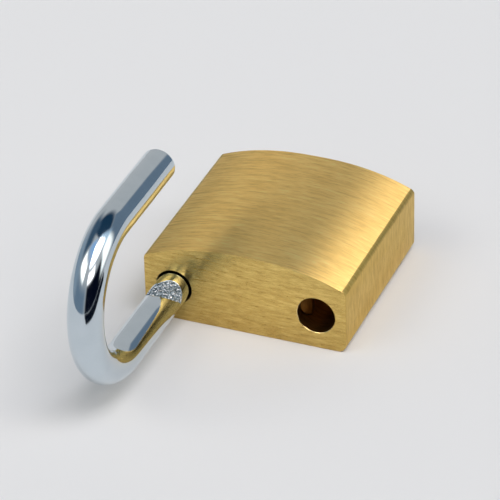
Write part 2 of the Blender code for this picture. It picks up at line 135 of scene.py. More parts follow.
# Places worked out from the dimensions
END_Y = -BODY_LENGTH / 2
KEY_END_Y = BODY_LENGTH / 2
SIDE_X = BODY_WIDTH / 2
HEEL_X = -LEG_SPACING / 2
TOE_X = LEG_SPACING / 2
BOLT_Y = END_Y + BOLT_DEPTH
PLUG_BACK = END_Y + PLUG_BACK_DEPTH
PLUG_FRONT = KEY_END_Y - GAP
GROOVE_Y = KEY_END_Y - GROOVE_DEPTH
PIN_YS = [KEY_END_Y - FIRST_PIN_DEPTH - index * PIN_PITCH for index in range(5)]
SHACKLE_PIN_Y = END_Y + LIFT - NECK_START + GAP + RETAINING_PIN_RADIUS
SHACKLE_PIN_START = HEEL_X - NECK_RADIUS - GAP
PLUG_PIN_START = -GROOVE_RADIUS - GAP
BOLT_PLUG_START = TOE_X + TOE_HOLE_RADIUS + 0.0001
BOLT_PLUG_LENGTH = SIDE_X - TOE_X - TOE_HOLE_RADIUS
BOLT_TRAVEL = WIRE_RADIUS - NECK_RADIUS
CAP_TOP = END_Y - HEEL_END + GAP

# The photograph's viewpoint
CAMERA_AZIMUTH = math.radians(22.42)
CAMERA_ELEVATION = math.radians(32.79)
CAMERA_ROLL = math.radians(-1.474)
CAMERA_DISTANCE = 0.61286
AIM_RIGHT = -0.00610
AIM_UP = 0.00564
LENS = 231.9


# Meshes


def new_piece(name, mesh, body=None, matrix=None):
    """A new object in the scene, which rides on the body if there is one."""
    piece = bpy.data.objects.new(name, mesh)
    bpy.context.scene.collection.objects.link(piece)
    if matrix is not None:
        piece.matrix_world = matrix
    if body is not None:
        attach(piece, body)
    return piece


def smooth(mesh, angle=math.radians(32)):
    """Smooth shading, with sharp edges where faces meet at more than the angle."""
    mesh.shade_smooth()
    mesh.set_sharp_from_angle(angle=angle)


def ring_mesh(name, rings, material):
    """A closed mesh through rings of equal length, with a face at each end."""
    shape = bmesh.new()
    rows = [[shape.verts.new(point) for point in ring] for ring in rings]
    count = len(rows[0])
    for low, high in zip(rows, rows[1:]):
        for index in range(count):
            following = (index + 1) % count
            shape.faces.new((low[index], low[following], high[following], high[index]))
    shape.faces.new(rows[0][::-1])
    shape.faces.new(rows[-1])
    bmesh.ops.recalc_face_normals(shape, faces=shape.faces)
    mesh = bpy.data.meshes.new(name)
    shape.to_mesh(mesh)
    shape.free()
    mesh.materials.append(material)
    return mesh


def lathe(name, profile, axis, centre, material, sides=64):
    """A solid of revolution about a line along X or Y. The profile holds (place along, radius)."""
    rings = []
    for along, radius in profile:
        ring = []
        for index in range(sides):
            angle = 2 * math.pi * index / sides
            first = centre[0] + radius * math.cos(angle)
            second = centre[1] + radius * math.sin(angle)
            ring.append((along, first, second) if axis == "X" else (first, along, second))
        rings.append(ring)
    return ring_mesh(name, rings, material)


def sweep(name, path, radii, reference, material, sides):
    """A round bar along a path; reference is a direction that is never along the path."""
    rings = []
    for index, point in enumerate(path):
        before = path[max(index - 1, 0)]
        after = path[min(index + 1, len(path) - 1)]
        tangent = (after - before).normalized()
        first = (reference - tangent * reference.dot(tangent)).normalized()
        second = tangent.cross(first)
        ring = []
        for side in range(sides):
            angle = 2 * math.pi * side / sides
            ring.append(point + radii[index] * (math.cos(angle) * first + math.sin(angle) * second))
        rings.append(ring)
    return ring_mesh(name, rings, material)


def scratch_object(name, mesh):
    """An object that only carries a mesh through a modifier, and is removed afterwards."""
    carrier = bpy.data.objects.new(name, mesh)
    bpy.context.scene.collection.objects.link(carrier)
    return carrier


def evaluated(carrier, name):
    """The object's mesh after its modifiers."""
    depsgraph = bpy.context.evaluated_depsgraph_get()
    shown = carrier.evaluated_get(depsgraph)
    result = bpy.data.meshes.new_from_object(shown, depsgraph=depsgraph)
    result.name = name
    return result


def cut(mesh, cutters):
    """The mesh without what each cutter covers; a cut face keeps its cutter's material."""
    block = scratch_object("cut", mesh)
    tools = [scratch_object("cutter", cutter) for cutter in cutters]
    for tool in tools:
        change = block.modifiers.new("cut", "BOOLEAN")
        change.operation = "DIFFERENCE"
        change.object = tool
        change.solver = "EXACT"
        change.material_mode = "TRANSFER"
    result = evaluated(block, mesh.name)
    for carrier in (*tools, block):
        bpy.data.objects.remove(carrier)
    return result


def bevelled(mesh, width, segments, slot=-1):
    """The mesh with every edge over 35 degrees bevelled, in a material slot if one is given."""
    block = scratch_object("bevel", mesh)
    change = block.modifiers.new("bevel", "BEVEL")
    change.width = width
    change.segments = segments
    change.limit_method = "ANGLE"
    change.angle_limit = math.radians(35)
    change.material = slot
    result = evaluated(block, mesh.name)
    bpy.data.objects.remove(block)
    return result


# Materials


class Nodes:
    """A new material, with short ways to add nodes to it and to link them."""

    def __init__(self, name):
        self.material = bpy.data.materials.new(name)
        self.material.use_nodes = True
        self.tree = self.material.node_tree
        self.tree.nodes.clear()
        output = self.add("ShaderNodeOutputMaterial")
        self.shader = self.add("ShaderNodeBsdfPrincipled")
        self.link(self.shader, "BSDF", output, "Surface")

    def add(self, kind, **settings):
        node = self.tree.nodes.new(kind)
        for key, value in settings.items():
            setattr(node, key, value)
        return node

    def link(self, source, output, target, target_input):
        self.tree.links.new(source.outputs[output], target.inputs[target_input])

    def stretched(self, scale, detail=3.0, roughness=0.6):
        """Noise in the piece's own coordinates, with a scale for each axis in cycles per metre."""
        place = self.add("ShaderNodeTexCoord")
        mapping = self.add("ShaderNodeMapping")
        mapping.inputs["Scale"].default_value = scale
        noise = self.add("ShaderNodeTexNoise")
        noise.inputs["Scale"].default_value = 1.0
        noise.inputs["Detail"].default_value = detail
        noise.inputs["Roughness"].default_value = roughness
        self.link(place, "Object", mapping, "Vector")
        self.link(mapping, "Vector", noise, "Vector")
        return noise

    def ramp(self, source, output, stops):
        """Colours for the source's values. Each stop is a value and a colour."""
        ramp = self.add("ShaderNodeValToRGB")
        elements = ramp.color_ramp.elements
        while len(elements) < len(stops):
            elements.new(0.5)
        for element, (place, colour) in zip(elements, stops):
            element.position = place
            element.color = (*colour, 1.0)
        self.link(source, output, ramp, "Fac")
        return ramp

    def span(self, source, output, low, high, out_low, out_high):
        """The source's values from low to high, mapped to those from out_low to out_high."""
        span = self.add("ShaderNodeMapRange")
        span.inputs["From Min"].default_value = low
        span.inputs["From Max"].default_value = high
        span.inputs["To Min"].default_value = out_low
        span.inputs["To Max"].default_value = out_high
        self.link(source, output, span, "Value")
        return span

    def blend_values(self, first, second, share):
        """One noise with a share of another."""
        blend = self.add("ShaderNodeMix")
        blend.inputs["Factor"].default_value = share
        self.link(first, "Fac", blend, "A")
        self.link(second, "Fac", blend, "B")
        return blend

    def finish(self, source, output, rough, strength, distance):
        """Makes a metal whose roughness and relief follow the source; rough is as in span."""
        self.shader.inputs["Metallic"].default_value = 1.0
        span = self.span(source, output, *rough)
        self.link(span, "Result", self.shader, "Roughness")
        bump = self.add("ShaderNodeBump")
        bump.inputs["Strength"].default_value = strength
        bump.inputs["Distance"].default_value = distance
        self.link(source, output, bump, "Height")
        self.link(bump, "Normal", self.shader, "Normal")

    def marked_metal(self, source, output, stops, rough, strength, distance):
        """The material, as a metal whose colour, roughness and relief all follow the source."""
        colour = self.ramp(source, output, stops)
        self.link(colour, "Color", self.shader, "Base Color")
        self.finish(source, output, rough, strength, distance)
        return self.material


def brushed_brass(name, streaks, across, roughness, anisotropic, painted_light_tint, painted_back_shade=1.0):
    """Brass ground with a belt. streaks are cycles per metre, across is the direction at right
    angles to the grinding lines, and the tint paints light and shade on the face's colour. The
    last argument is a painted shade: the share of the colour's brightness left at the back."""
    nodes = Nodes(name)
    wide = nodes.stretched(streaks, detail=5.0, roughness=0.62)
    fine = nodes.stretched(tuple(3.1 * value for value in streaks))
    both = nodes.blend_values(wide, fine, 0.4)
    stops = [(0.36, (0.66, 0.45, 0.155)), (0.50, (0.85, 0.605, 0.215)), (0.64, (1.0, 0.75, 0.30))]
    # Painted light and shade: the tint makes this face's brass lighter or darker
    painted_light_stops = [(place, tuple(a * b for a, b in zip(colour, painted_light_tint))) for place, colour in stops]
    colour = nodes.ramp(both, "Result", painted_light_stops)
    # Painted shade: the colour darkens from 8 mm above the back down to the last argument's share at
    # the back
    place = nodes.add("ShaderNodeTexCoord")
    split = nodes.add("ShaderNodeSeparateXYZ")
    nodes.link(place, "Object", split, "Vector")
    shade = nodes.span(split, "Z", 0.0, 0.008, painted_back_shade, 1.0)
    shaded = nodes.add("ShaderNodeVectorMath", operation="SCALE")
    nodes.link(colour, "Color", shaded, 0)
    nodes.link(shade, "Result", shaded, "Scale")
    nodes.link(shaded, "Vector", nodes.shader, "Base Color")
    nodes.finish(both, "Result", (0.35, 0.65, roughness + 0.06, roughness - 0.06), 0.5, 0.00004)
    nodes.shader.inputs["Anisotropic"].default_value = anisotropic
    tangent = nodes.add("ShaderNodeCombineXYZ")
    for axis, value in zip("XYZ", across):
        tangent.inputs[axis].default_value = value
    nodes.link(tangent, "Vector", nodes.shader, "Tangent")
    return nodes.material


def plain_metal(name, dark, light, rough, scale, detail=3.0, strength=0.3, distance=0.00002):
    """Metal with soft marks; scale is in cycles per metre, and rough is for dark and light."""
    nodes = Nodes(name)
    marks = nodes.stretched(scale, detail)
    stops = [(0.3, dark), (0.7, light)]
    return nodes.marked_metal(marks, "Fac", stops, (0.3, 0.7, *rough), strength, distance)


def rough_plating(name):
    """The plated face of a notch, which the cutter left grainy and scored."""
    nodes = Nodes(name)
    grains = nodes.stretched((3400.0,) * 3, roughness=0.7)
    scores = nodes.stretched((500.0, 9000.0, 3000.0), detail=2.0)
    both = nodes.blend_values(grains, scores, 0.45)
    stops = [
        (0.38, (0.02, 0.03, 0.035)),
        (0.49, (0.13, 0.17, 0.19)),
        (0.56, (0.42, 0.48, 0.52)),
        (0.64, (0.95, 0.95, 0.95)),
    ]
    return nodes.marked_metal(both, "Result", stops, (0.35, 0.6, 0.45, 0.2), 1.0, 0.0003)


def turned_face(name):
    """Brass with the fine rings of a lathe about the key plug's axis."""
    nodes = Nodes(name)
    place = nodes.add("ShaderNodeTexCoord")
    flat = nodes.add("ShaderNodeMapping")
    flat.inputs["Location"].default_value = (0.0, 0.0, -AXIS_Z)
    flat.inputs["Scale"].default_value = (1.0, 0.0, 1.0)
    distance = nodes.add("ShaderNodeVectorMath", operation="LENGTH")
    rings = nodes.add("ShaderNodeTexNoise", noise_dimensions="1D")
    rings.inputs["Scale"].default_value = 6500.0
    rings.inputs["Detail"].default_value = 3.0
    nodes.link(place, "Object", flat, "Vector")
    nodes.link(flat, "Vector", distance, 0)
    nodes.link(distance, "Value", rings, "W")
    stops = [(0.3, (0.60, 0.41, 0.14)), (0.7, (0.86, 0.63, 0.25))]
    return nodes.marked_metal(rings, "Fac", stops, (0.3, 0.7, 0.36, 0.24), 0.4, 0.00002)


# The tints paint light and shade: the crown is lighter and warmer, and the ends, the sides and the
# rounded edges are darker. The ends are also painted darker towards the back.
BRUSHED = brushed_brass(
    "brushed_brass", (170.0, 1500.0, 150.0), (0.0, 1.0, 0.0), 0.46, 0.95, (1.10, 1.04, 0.95)
)
BRUSHED_END = brushed_brass(
    "brushed_brass_end", (240.0, 150.0, 1700.0), (0.0, 0.0, 1.0), 0.25, 0.95, (0.87, 0.84, 0.70), 0.74
)
BRUSHED_SIDE = brushed_brass(
    "brushed_brass_side", (150.0, 1600.0, 170.0), (0.0, 1.0, 0.0), 0.40, 0.85, (0.81, 0.78, 0.58)
)
BRUSHED_EDGE = brushed_brass(
    "brushed_brass_edge", (170.0, 1500.0, 150.0), (0.0, 1.0, 0.0), 0.34, 0.80, (0.70, 0.67, 0.50)
)
BORED = plain_metal(
    "bored_brass", (0.26, 0.13, 0.03), (0.42, 0.24, 0.07), (0.28, 0.42), (400.0, 5000.0, 400.0), 2.0
)
RIM = plain_metal("cut_rim", (0.80, 0.58, 0.22), (0.92, 0.72, 0.34), (0.18, 0.26), (2000.0,) * 3)
TURNED = plain_metal(
    "turned_brass", (0.62, 0.43, 0.15), (0.80, 0.60, 0.26), (0.22, 0.34), (3000.0, 500.0, 500.0)
)
TURNED_FACE = turned_face("turned_face")
BOLT = plain_metal(
    "bolt_brass", (0.26, 0.14, 0.04), (0.40, 0.24, 0.08), (0.30, 0.42), (3000.0, 500.0, 500.0)
)
CHROME = plain_metal(
    "plated_steel",
    (0.55, 0.62, 0.67),
    (0.59, 0.66, 0.71),
    (0.06, 0.11),
    (260.0,) * 3,
    strength=0.12,
    distance=0.00004,
)
ROUGH = rough_plating("rough_plating")
STEEL = plain_metal("tool_steel", (0.42, 0.42, 0.43), (0.56, 0.56, 0.57), (0.28, 0.40), (3000.0,) * 3)
SPRING = plain_metal("spring_wire", (0.50, 0.50, 0.52), (0.68, 0.68, 0.70), (0.16, 0.26), (900.0,) * 3)


# The body


def crown_height(x):
    """Height of the crowned front above the back at x."""
    return EDGE_THICKNESS + CROWN_RISE * (1 - (abs(x) / SIDE_X) ** CROWN_POWER)


def body_section():
    """The block's outline in X and Z, from the toe side's front edge over the crown and round."""
    edge_steps = 8
    crown_steps = 96
    corner_steps = 12
    shoulder = SIDE_X - FRONT_EDGE_ROUND
    climb = crown_height(shoulder) - EDGE_THICKNESS
    rounding = []
    for index in range(edge_steps):
        share = index / edge_steps
        z = EDGE_THICKNESS - (1 - share) ** 2 * FRONT_EDGE_ROUND + share**2 * climb
        rounding.append((SIDE_X - share**2 * FRONT_EDGE_ROUND, z))
    points = list(rounding)
    for index in range(crown_steps + 1):
        x = shoulder - 2 * shoulder * index / crown_steps
        points.append((x, crown_height(x)))
    points += [(-x, z) for x, z in reversed(rounding)]
    for side in (-1, 1):
        for index in range(corner_steps + 1):
            share = index / corner_steps if side < 0 else 1 - index / corner_steps
            angle = math.radians(90) * share
            inset = BACK_EDGE_RADIUS * (1 - math.cos(angle))
            height = BACK_EDGE_RADIUS * (1 - math.sin(angle))
            points.append((side * (SIDE_X - inset), height))
    return points


def hole(start, end, radius, axis, centre, chamfer=0.0, mouth=None, sides=96):
    """A cutter for a hole from the body's surface at start to an inner end. Its rim is chamfered,
    or its first stretch, as long as mouth, is narrowed to fit the flush plug that closes it."""
    outward = math.copysign(1.0, start)
    beyond = 0.001
    profile = [(end, radius)]
    if mouth is None:
        profile.append((start - outward * chamfer, radius))
    else:
        profile.append((start - outward * mouth, radius))
        radius += HAIRLINE - GAP
        profile.append((start - outward * (mouth - HAIRLINE), radius))
    profile.append((start, radius + chamfer))
    flare = chamfer + beyond if chamfer > 0 else 0.0
    profile.append((start + outward * beyond, radius + flare))
    mesh = lathe("hole", profile, axis, centre, BORED, sides)
    if chamfer > 0:
        mesh.materials.append(RIM)
        for face in mesh.polygons:
            along = face.center["XY".index(axis)]
            if abs(along - start) < chamfer and len(face.vertices) == 4:
                face.material_index = 1
    return mesh


def body_holes():
    """The cutters for every hole. One that runs into another hole ends inside it."""
    plug_hole_end = BOLT_Y - 0.0001
    bolt_bore_end = HEEL_X + 0.0010
    shackle_pin_hole_end = HEEL_X - 0.0020
    plug_pin_hole_end = -PLUG_RADIUS + 0.0002
    chamber_end = PLUG_RADIUS - 0.0020
    heel_row = (HEEL_X, AXIS_Z)
    toe_row = (TOE_X, AXIS_Z)
    plug_row = (0.0, AXIS_Z)
    bolt_row = (BOLT_Y, AXIS_Z)
    shackle_pin = (RETAINING_PIN_RADIUS + HAIRLINE, "X", (SHACKLE_PIN_Y, AXIS_Z))
    plug_pin = (PLUG_PIN_RADIUS + HAIRLINE, "X", (GROOVE_Y, AXIS_Z))
    holes = [
        hole(END_Y, END_Y + HEEL_HOLE_DEPTH, HEEL_HOLE_RADIUS, "Y", heel_row, HEEL_HOLE_CHAMFER),
        hole(END_Y, END_Y + TOE_HOLE_DEPTH, TOE_HOLE_RADIUS, "Y", toe_row, TOE_HOLE_CHAMFER),
        hole(KEY_END_Y, plug_hole_end, PLUG_RADIUS + GAP, "Y", plug_row, PLUG_HOLE_CHAMFER),
        hole(SIDE_X, bolt_bore_end, BOLT_RADIUS + GAP, "X", bolt_row, mouth=BOLT_PLUG_LENGTH),
        hole(-SIDE_X, shackle_pin_hole_end, *shackle_pin),
        hole(-SIDE_X, plug_pin_hole_end, *plug_pin),
    ]
    for y in PIN_YS:
        chamber = (PIN_RADIUS + GAP, "X", (y, AXIS_Z))
        holes.append(hole(SIDE_X, chamber_end, *chamber, mouth=CHAMBER_PLUG_LENGTH, sides=48))
    return holes


def make_body():
    """The drilled block, with a brushed material for its crown, ends, sides and rounded edges."""
    section = body_section()
    rings = [[(x, y, z) for x, z in section] for y in (END_Y, KEY_END_Y)]
    block = bevelled(ring_mesh("body_block_shell", rings, BRUSHED), BODY_BEVEL, 3)
    for material in (BRUSHED_END, BRUSHED_SIDE, BRUSHED_EDGE):
        block.materials.append(material)
    # How squarely a face looks along Y or X tells the ends, the sides and the rounded edges
    for face in block.polygons:
        if abs(face.normal.y) > 0.8:
            face.material_index = 1
        elif abs(face.normal.x) > 0.97:
            face.material_index = 2
        elif abs(face.normal.x) > 0.40:
            face.material_index = 3
    mesh = cut(block, body_holes())
    smooth(mesh)
    body = new_piece("body_block_shell", mesh, "body")
    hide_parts("body_block")


def flush_plug(node, inner, outer, radius, y, material, end, slot, sides=64):
    """A plug or pin along X whose outer end is a hairline inside the body's brushed side."""
    side = math.copysign(1.0, outer)
    face_x = outer - side * HAIRLINE
    profile = [(inner, radius - FLUSH_TURN), (inner + side * FLUSH_TURN, radius), (face_x, radius)]
    mesh = lathe(f"{node}_flush", profile, "X", (y, AXIS_Z), material, sides)
    mesh.materials.append(end)
    for face in mesh.polygons:
        if abs(face.normal.x) > 0.9 and abs(face.center.x - face_x) < HAIRLINE:
            face.material_index = 1
    smooth(mesh)
    plug = new_piece(f"{node}_flush", mesh, "body")
    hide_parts(node)


def make_flush_plugs():
    """The brass plugs in the toe side and the two steel pins in the heel side."""
    brass = (TURNED, BRUSHED_SIDE, "turned_brass")
    steel = (STEEL, STEEL, "steel_parts")
    shackle_pin = (SHACKLE_PIN_START, -SIDE_X, RETAINING_PIN_RADIUS, SHACKLE_PIN_Y)
    flush_plug("bolt_bore_plug", BOLT_PLUG_START, SIDE_X, BOLT_RADIUS, BOLT_Y, *brass)
    flush_plug("shackle_retaining_pin", *shackle_pin, *steel)
    flush_plug("plug_retaining_pin", PLUG_PIN_START, -SIDE_X, PLUG_PIN_RADIUS, GROOVE_Y, *steel)
    for number, y in enumerate(PIN_YS, 1):
        inner = SIDE_X - CHAMBER_PLUG_LENGTH
        flush_plug(f"chamber_plug_{number}", inner, SIDE_X, PIN_RADIUS, y, *brass, sides=48)


# The shackle


def shackle_path():
    """Centre line and wire radius from the heel's end round the bow to the toe, in the shackle's
    own frame: the heel leg's axis is Y, and the end face of the body is at Y = 0."""
    bow_steps = 128
    toe_steps = 8
    bow_radius = LEG_SPACING / 2
    points = [
        (0.0, -HEEL_END, WIRE_RADIUS - HEEL_TURN),
        (0.0, -HEEL_END - HEEL_TURN, WIRE_RADIUS),
        (0.0, -NECK_END + NECK_TURN, WIRE_RADIUS),
        (0.0, -NECK_END, WIRE_RADIUS - NECK_TURN),
        (0.0, -NECK_END - HAIRLINE, NECK_RADIUS),
        (0.0, -NECK_START + HAIRLINE, NECK_RADIUS),
        (0.0, -NECK_START, WIRE_RADIUS - NECK_TURN),
        (0.0, -NECK_START - NECK_TURN, WIRE_RADIUS),
        (0.0, -STRAIGHT_LEG / 2, WIRE_RADIUS),
    ]
    for index in range(bow_steps + 1):
        angle = math.pi * index / bow_steps
        x = bow_radius * (1 - math.cos(angle))
        y = -STRAIGHT_LEG - bow_radius * math.sin(angle)
        points.append((x, y, WIRE_RADIUS))
    points.append((LEG_SPACING, -STRAIGHT_LEG / 2, WIRE_RADIUS))
    for index in range(toe_steps + 1):
        angle = math.radians(90) * index / toe_steps
        y = -TOE_CLEARANCE - TOE_ROUND * (1 - math.sin(angle))
        points.append((LEG_SPACING, y, WIRE_RADIUS - TOE_ROUND * (1 - math.cos(angle))))
    return points


def notch(x_surface, inward, level, depth, half_length, turn=0.0, skew=0.0):
    """A wedge whose edge lies at a depth inside a leg's surface, turned about the heel's axis."""
    beyond = 0.0010
    open_half = (depth + beyond) * half_length / depth
    section = [
        (x_surface + inward * depth, 0.0),
        (x_surface - inward * beyond, -open_half),
        (x_surface - inward * beyond, open_half),
    ]
    rings = [[(x, y, z) for x, y in section] for z in (-1.5 * WIRE_RADIUS, 1.5 * WIRE_RADIUS)]
    mesh = ring_mesh("notch", rings, ROUGH)
    turned = Matrix.Rotation(turn, 4, "Y") @ Matrix.Rotation(skew, 4, "X")
    mesh.transform(Matrix.Translation((0.0, -level, 0.0)) @ turned)
    return mesh


def make_shackle():
    """The plated bow with a rough notch in each leg, turned about its heel as the CAD has it."""
    points = shackle_path()
    path = [Vector((x, y, 0.0)) for x, y, radius in points]
    radii = [radius for x, y, radius in points]
    bar = sweep("shackle_bow", path, radii, Vector((0.0, 0.0, 1.0)), CHROME, 96)
    heel_size = (HEEL_NOTCH_LEVEL, HEEL_NOTCH_DEPTH, HEEL_NOTCH_HALF_LENGTH)
    heel_notch = notch(WIRE_RADIUS, -1, *heel_size, HEEL_NOTCH_TURN, HEEL_NOTCH_SKEW)
    toe_notch = notch(LEG_SPACING - WIRE_RADIUS, 1, NOTCH_LEVEL, NOTCH_DEPTH, NOTCH_HALF_LENGTH)
    mesh = bevelled(cut(bar, [heel_notch, toe_notch]), SHACKLE_BEVEL, 2, slot=0)
    smooth(mesh)
    pose = Matrix.Translation((HEEL_X, END_Y, AXIS_Z)) @ Matrix.Rotation(-SWIVEL_ANGLE, 4, "Y")
    shackle = new_piece("shackle_bow", mesh, "shackle", pose)
    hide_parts("shackle")


# The key plug


def box_mesh(name, low, high, material):
    """A box from its low corner to its high one."""
    corners = [(low[0], low[2]), (high[0], low[2]), (high[0], high[2]), (low[0], high[2])]
    return ring_mesh(name, [[(x, y, z) for x, z in corners] for y in (low[1], high[1])], material)


def make_key_plug():
    """The turned cylinder with its groove, stepped keyway, cam slot and pin chambers."""
    groove_start = GROOVE_Y - GROOVE_HALF_WIDTH
    groove_end = GROOVE_Y + GROOVE_HALF_WIDTH
    outline = [
        (PLUG_BACK, PLUG_RADIUS - PIN_TURN),
        (PLUG_BACK + PIN_TURN, PLUG_RADIUS),
        (groove_start, PLUG_RADIUS),
        (groove_start + HAIRLINE, GROOVE_RADIUS),
        (groove_end - HAIRLINE, GROOVE_RADIUS),
        (groove_end, PLUG_RADIUS),
        (PLUG_FRONT - PLUG_FRONT_TURN, PLUG_RADIUS),
        (PLUG_FRONT, PLUG_RADIUS - PLUG_FRONT_TURN),
    ]
    cylinder = lathe("key_plug_turned", outline, "Y", (0.0, AXIS_Z), TURNED, 96)
    cylinder.materials.append(TURNED_FACE)
    for face in cylinder.polygons:
        if abs(face.normal.y) > 0.9:
            face.material_index = 1
    beyond = 0.002
    reach = PLUG_RADIUS + beyond
    keyway_start = PLUG_BACK + KEYWAY_STOP
    tools = []
    for left, right, half in KEYWAY_STEPS:
        low = (left, keyway_start, AXIS_Z - half)
        high = (right, PLUG_FRONT + beyond, AXIS_Z + half)
        tools.append(box_mesh("keyway", low, high, BORED))
    low = (-reach, PLUG_BACK - beyond, AXIS_Z - CAM_TONGUE_HALF - GAP)
    high = (reach, PLUG_BACK + CAM_TONGUE_LENGTH, AXIS_Z + CAM_TONGUE_HALF + GAP)
    tools.append(box_mesh("cam_slot", low, high, BORED))
    chamber = [(CHAMBER_FLOOR, PIN_RADIUS + GAP), (reach, PIN_RADIUS + GAP)]
    for y in PIN_YS:
        tools.append(lathe("chamber", chamber, "X", (y, AXIS_Z), BORED, 48))
    mesh = bevelled(cut(cylinder, tools), PLUG_BEVEL, 2)
    smooth(mesh)
    plug = new_piece("key_plug_turned", mesh, "key_plug")
    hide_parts("key_plug")


# Pins, the spring cap and the springs


def turned_piece(node, profile, axis, centre, material):
    """A finer turned piece in place of a CAD node that has a body of the same name."""
    mesh = lathe(f"{node}_turned", profile, axis, centre, material)
    smooth(mesh)
    piece = new_piece(f"{node}_turned", mesh, node)
    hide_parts(node)


def spring(node, body, radius, wire, turns, axis, joint=None, travel=0.0, fixed_end=1):
    """A coil spring with a closed turn at each end, along the middle of its CAD node's box. With a
    joint, it works out an anchor at the high end of the box, or the low one for fixed_end 0, and
    gives the piece a mesh of its own, but doesn't shorten the spring; travel is not used."""
    low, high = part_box(node)
    along = "XYZ".index(axis)
    length = high[along] - low[along]
    middle = [(a + b) / 2 for a, b in zip(low, high)]
    inset = 0.00003
    closed_rise = 1.02 * 2 * wire
    open_rise = (length - 2 * wire - 2 * inset - 2 * closed_rise) / turns
    start = low[along] + wire + inset
    steps = 28 * (turns + 2)
    path = []
    for index in range(steps + 1):
        turn = (turns + 2) * index / steps
        closed_turns = min(turn, 1.0) + max(turn - turns - 1, 0.0)
        open_turns = min(max(turn - 1, 0.0), turns)
        angle = 2 * math.pi * turn
        point = Vector(middle)
        point[along] = start + closed_turns * closed_rise + open_turns * open_rise
        point[(along + 1) % 3] += radius * math.cos(angle)
        point[(along + 2) % 3] += radius * math.sin(angle)
        path.append(point)
    reference = Vector([1.0 if index == along else 0.0 for index in range(3)])
    mesh = sweep(f"{node}_coil", path, [wire] * len(path), reference, SPRING, 12)
    smooth(mesh, math.radians(60))
    piece = new_piece(f"{node}_coil", mesh, body)
    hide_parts(node)
    if joint:
        anchor = list(middle)
        anchor[along] = (low, high)[fixed_end][along]
        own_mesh(piece)


def make_pin_stacks():
    """In each chamber a pointed key pin, the driver pin that it lifts, and a spring."""
    key_pin_top = PLUG_RADIUS - GAP
    driver_start = PLUG_RADIUS + GAP
    driver_end = driver_start + DRIVER_LENGTH
    driver = [
        (driver_start, PIN_RADIUS - PIN_TURN),
        (driver_start + PIN_TURN, PIN_RADIUS),
        (driver_end - PIN_TURN, PIN_RADIUS),
        (driver_end, PIN_RADIUS - PIN_TURN),
    ]
    for number, (y, length) in enumerate(zip(PIN_YS, KEY_PIN_LENGTHS), 1):
        tip = key_pin_top - length
        key_pin = [
            (tip, KEY_PIN_TIP_RADIUS),
            (tip + PIN_RADIUS / 2, PIN_RADIUS),
            (key_pin_top - PIN_TURN, PIN_RADIUS),
            (key_pin_top, PIN_RADIUS - PIN_TURN),
        ]
        centre = (y, AXIS_Z)
        turned_piece(f"key_pin_{number}", key_pin, "X", centre, TURNED)
        turned_piece(f"driver_pin_{number}", driver, "X", centre, STEEL)
        spring(f"pin_spring_{number}", "body", 0.0009, 0.00018, 4, "X")


def make_spring_cap():
    """The slider under the heel leg: a flange, and a stem that the shackle spring is round."""
    flange_end = CAP_TOP + CAP_FLANGE
    cap_end = CAP_TOP + CAP_LENGTH
    stem_turn = 0.0001
    profile = [
        (CAP_TOP, CAP_RADIUS - PIN_TURN),
        (CAP_TOP + PIN_TURN, CAP_RADIUS),
        (flange_end - PIN_TURN, CAP_RADIUS),
        (flange_end, CAP_RADIUS - PIN_TURN),
        (flange_end + HAIRLINE, CAP_STEM_RADIUS),
        (cap_end - stem_turn, CAP_STEM_RADIUS),
        (cap_end, CAP_STEM_RADIUS - stem_turn),
    ]
    turned_piece("spring_cap", profile, "Y", (HEEL_X, AXIS_Z), TURNED)


def make_springs():
    """The shackle's spring, and one behind each bolt, which the toe bolt's slide would shorten; they
    are built at full length.
    """
    bolt_spring = (0.0007, 0.0002, 3, "X", "toe_bolt_slide", BOLT_TRAVEL)
    spring("shackle_spring", "body", 0.0026, 0.00035, 5, "Y", "shackle_lift", LIFT)
    spring("toe_bolt_spring", "toe_bolt", *bolt_spring)
    spring("heel_bolt_spring", "heel_bolt", *bolt_spring, fixed_end=0)


def finish_carried_nodes():
    """Rounded edges and materials for the CAD nodes that are shown themselves."""
    for name, material in (("heel_bolt", BOLT), ("toe_bolt", BOLT), ("cam", STEEL)):
        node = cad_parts[name]
        node.data.materials.clear()
        node.data.materials.append(material)
        rounding = node.modifiers.new("rounding", "BEVEL")
        rounding.width = CARRIED_BEVEL
        rounding.segments = 2
        rounding.limit_method = "ANGLE"
        rounding.angle_limit = math.radians(40)


# Floor, light and camera


def add_floor():
    """Pale paper that reaches past the view in every direction."""
    reach = 30.0
    corners = [(-reach, -reach), (reach, -reach), (reach, reach), (-reach, reach)]
    mesh = bpy.data.meshes.new("floor")
    mesh.from_pydata([(x, y, -HAIRLINE) for x, y in corners], [], [(0, 1, 2, 3)])
    nodes = Nodes("floor_paper")
    nodes.shader.inputs["Base Color"].default_value = (0.765, 0.757, 0.738, 1.0)
    nodes.shader.inputs["Roughness"].default_value = 0.7
    mesh.materials.append(nodes.material)
    floor = new_piece("floor", mesh)


